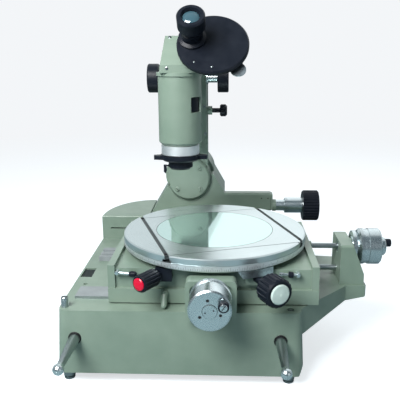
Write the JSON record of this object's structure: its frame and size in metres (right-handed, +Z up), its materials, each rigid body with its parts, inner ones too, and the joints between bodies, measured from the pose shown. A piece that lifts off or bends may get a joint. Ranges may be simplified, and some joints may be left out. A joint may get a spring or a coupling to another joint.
{
  "type": "toolmakers microscope",
  "caption": "Toolmakers microscope with a round glass stage on cross slides, drum micrometers, a tilting column, a focusing tube and a goniometer head on a cast base.",
  "frame": {"origin": "on the bench in the plane of the feet, under the middle of the whole outline", "axes": "+Z up along the rest position of the optical axis, -Y towards the user, +X to the user's right"},
  "size_m": [0.4954, 0.5318, 0.5188],
  "materials": {
    "paint": "hammered grey-green enamel",
    "stage_steel": "fine turned",
    "steel": "ground",
    "chrome": "satin chrome",
    "black": "black semi-gloss",
    "white_cap": "gloss",
    "red_cap": "gloss",
    "glass": "polished",
    "mirror": "silvered"
  },
  "bodies": {
    "base": {"base_casting": "paint", "condenser_ring": "chrome", "feet_back": "steel", "x_ways": "steel", "x_block": "paint", "x_barrel": "chrome", "rest_rod": "steel", "rear_housing": "paint", "stand": "paint", "tilt_arm": "paint", "tilt_sleeve": "chrome"},
    "foot_left": {"foot_left": "steel"},
    "foot_right": {"foot_right": "steel"},
    "carry_rod_left": {"carry_rod_left": "steel"},
    "carry_rod_right": {"carry_rod_right": "steel"},
    "x_slide": {"x_slide": "paint", "y_bracket": "paint", "y_barrel": "chrome"},
    "slide_peg": {"slide_peg": "paint"},
    "x_drum": {"x_drum": "chrome"},
    "x_crank": {"x_crank": "black"},
    "x_spindle": {"x_spindle": "steel"},
    "y_drum": {"y_drum": "chrome"},
    "y_crank": {"y_crank": "black"},
    "y_slide": {"y_slide": "paint", "pinion_bracket": "paint", "clamp_bracket": "black", "vernier_arc": "stage_steel", "y_spindle": "steel"},
    "lever_left": {"lever_left": "chrome"},
    "lever_right": {"lever_right": "chrome"},
    "stage": {"rotary_stage": "stage_steel", "stage_gear": "stage_steel", "stage_glass": "glass"},
    "stage_knob": {"stage_knob": "black", "stage_knob_cap": "white_cap"},
    "stage_clamp": {"clamp_handle": "black", "clamp_cap": "red_cap"},
    "column": {"column": "paint", "pivot_cover": "paint", "cover_screws": "chrome", "pivot_shaft": "steel", "focus_rack": "steel"},
    "tilt_drum": {"tilt_drum": "chrome", "tilt_knob": "black"},
    "microscope": {"focus_carrier": "paint", "tube_arm": "paint", "prism_housing": "paint", "goniometer_head": "black", "eyepiece": "black", "lens_barrel": "chrome", "focus_hubs": "chrome"},
    "focus_axle": {"focus_axle": "steel", "focus_knobs": "black"},
    "focus_clamp": {"focus_clamp": "black"},
    "eyecup": {"eyecup": "black"},
    "ear_ring": {"ear_ring": "black"},
    "objective": {"objective": "black"},
    "mirror": {"reading_mirror": "mirror"},
    "wheel": {"knurled_wheel": "black"}
  },
  "joints": [
    {"name": "foot_left_turn", "type": "hinge", "parent": "base", "child": "foot_left", "pos_m": [-0.23475, -0.1611, 0.01], "axis": [0, 0, 1], "continuous": true},
    {"name": "foot_right_turn", "type": "hinge", "parent": "base", "child": "foot_right", "pos_m": [0.08225, -0.1611, 0.01], "axis": [0, 0, 1], "continuous": true},
    {"name": "carry_left_pull", "type": "slide", "parent": "base", "child": "carry_rod_left", "axis": [0, -1, 0], "range_m": [-0.074, 0.04]},
    {"name": "carry_right_pull", "type": "slide", "parent": "base", "child": "carry_rod_right", "axis": [0, -1, 0], "range_m": [-0.074, 0.04]},
    {"name": "x_travel", "type": "slide", "parent": "base", "child": "x_slide", "axis": [1, 0, 0], "range_m": [-0.126, 0]},
    {"name": "peg_turn", "type": "hinge", "parent": "x_slide", "child": "slide_peg", "pos_m": [-0.09425, -0.1491, 0.1285], "axis": [0, 1, 0], "range_deg": [-60, 12]},
    {"name": "x_drum_turn", "type": "hinge", "parent": "base", "child": "x_drum", "pos_m": [0.19575, -0.0351, 0.1616], "axis": [1, 0, 0], "range_deg": [0, 8640]},
    {"name": "x_crank_spin", "type": "hinge", "parent": "x_drum", "child": "x_crank", "pos_m": [0.23875, -0.0351, 0.1671], "axis": [1, 0, 0], "continuous": true},
    {"name": "x_spindle_travel", "type": "slide", "parent": "base", "child": "x_spindle", "axis": [1, 0, 0], "range_m": [0, 0.02401]},
    {"name": "y_drum_turn", "type": "hinge", "parent": "x_slide", "child": "y_drum", "pos_m": [-0.02775, -0.2041, 0.148], "axis": [0, 1, 0], "range_deg": [-9001, 9001]},
    {"name": "y_crank_spin", "type": "hinge", "parent": "y_drum", "child": "y_crank", "pos_m": [-0.01045, -0.2481, 0.1575], "axis": [0, 1, 0], "continuous": true},
    {"name": "y_travel", "type": "slide", "parent": "x_slide", "child": "y_slide", "axis": [0, 1, 0], "range_m": [-0.025, 0.025]},
    {"name": "lever_left_turn", "type": "hinge", "parent": "y_slide", "child": "lever_left", "pos_m": [-0.16095, -0.1431, 0.1585], "axis": [0, 1, 0], "range_deg": [-12, 12]},
    {"name": "lever_right_turn", "type": "hinge", "parent": "y_slide", "child": "lever_right", "pos_m": [0.09205, -0.1431, 0.158], "axis": [0, 1, 0], "range_deg": [-12, 12]},
    {"name": "stage_turn", "type": "hinge", "parent": "y_slide", "child": "stage", "pos_m": [-0.02645, -0.0391, 0.19], "axis": [0, 0, 1], "continuous": true},
    {"name": "stage_knob_turn", "type": "hinge", "parent": "y_slide", "child": "stage_knob", "pos_m": [0.04953, -0.18444, 0.1545], "axis": [0.4633, -0.8862, 0], "continuous": true},
    {"name": "stage_clamp_turn", "type": "hinge", "parent": "y_slide", "child": "stage_clamp", "pos_m": [-0.10705, -0.16561, 0.159], "axis": [-0.5373, -0.8434, 0], "range_deg": [-180, 180]},
    {"name": "column_tilt", "type": "hinge", "parent": "base", "child": "column", "pos_m": [-0.07775, 0.1609, 0.228], "axis": [0, 1, 0], "range_deg": [-12, 12]},
    {"name": "tilt_drum_turn", "type": "hinge", "parent": "base", "child": "tilt_drum", "pos_m": [0.10035, 0.1569, 0.1742], "axis": [1, 0, 0], "range_deg": [-2160, 2160]},
    {"name": "focus_travel", "type": "slide", "parent": "column", "child": "microscope", "axis": [0, 0, 1], "range_m": [-0.055, 0.03]},
    {"name": "focus_axle_turn", "type": "hinge", "parent": "microscope", "child": "focus_axle", "pos_m": [-0.07775, 0.1109, 0.412], "axis": [1, 0, 0], "range_deg": [-140, 255]},
    {"name": "focus_clamp_turn", "type": "hinge", "parent": "microscope", "child": "focus_clamp", "pos_m": [-0.02025, 0.1189, 0.356], "axis": [1, 0, 0], "range_deg": [-180, 180]},
    {"name": "eyecup_turn", "type": "hinge", "parent": "microscope", "child": "eyecup", "pos_m": [-0.05625, -0.09827, 0.49813], "axis": [0, -0.766, 0.6428], "range_deg": [-150, 150]},
    {"name": "ear_ring_turn", "type": "hinge", "parent": "microscope", "child": "ear_ring", "pos_m": [-0.07775, -0.0391, 0.3025], "axis": [0, 0, 1], "range_deg": [-25, 25]},
    {"name": "objective_turn", "type": "hinge", "parent": "microscope", "child": "objective", "pos_m": [-0.07775, -0.0391, 0.29], "axis": [0, 0, 1], "range_deg": [-60, 60]},
    {"name": "mirror_turn", "type": "hinge", "parent": "microscope", "child": "mirror", "pos_m": [0.00725, -0.07937, 0.44441], "axis": [1, 0, 0], "range_deg": [-12, 25]},
    {"name": "wheel_turn", "type": "hinge", "parent": "microscope", "child": "wheel", "pos_m": [-0.07775, -0.0391, 0.383], "axis": [0, 0, 1], "continuous": true}
  ],
  "couplings": [
    {"joint": "x_spindle_travel", "follows": "x_drum_turn", "m_per_rad": 0.00015915},
    {"joint": "y_drum_turn", "follows": "y_travel", "rad_per_m": 6283.2},
    {"joint": "stage_knob_turn", "follows": "stage_turn", "ratio": -50},
    {"joint": "column_tilt", "follows": "tilt_drum_turn", "ratio": 0.0055556},
    {"joint": "focus_axle_turn", "follows": "focus_travel", "rad_per_m": -80}
  ]
}
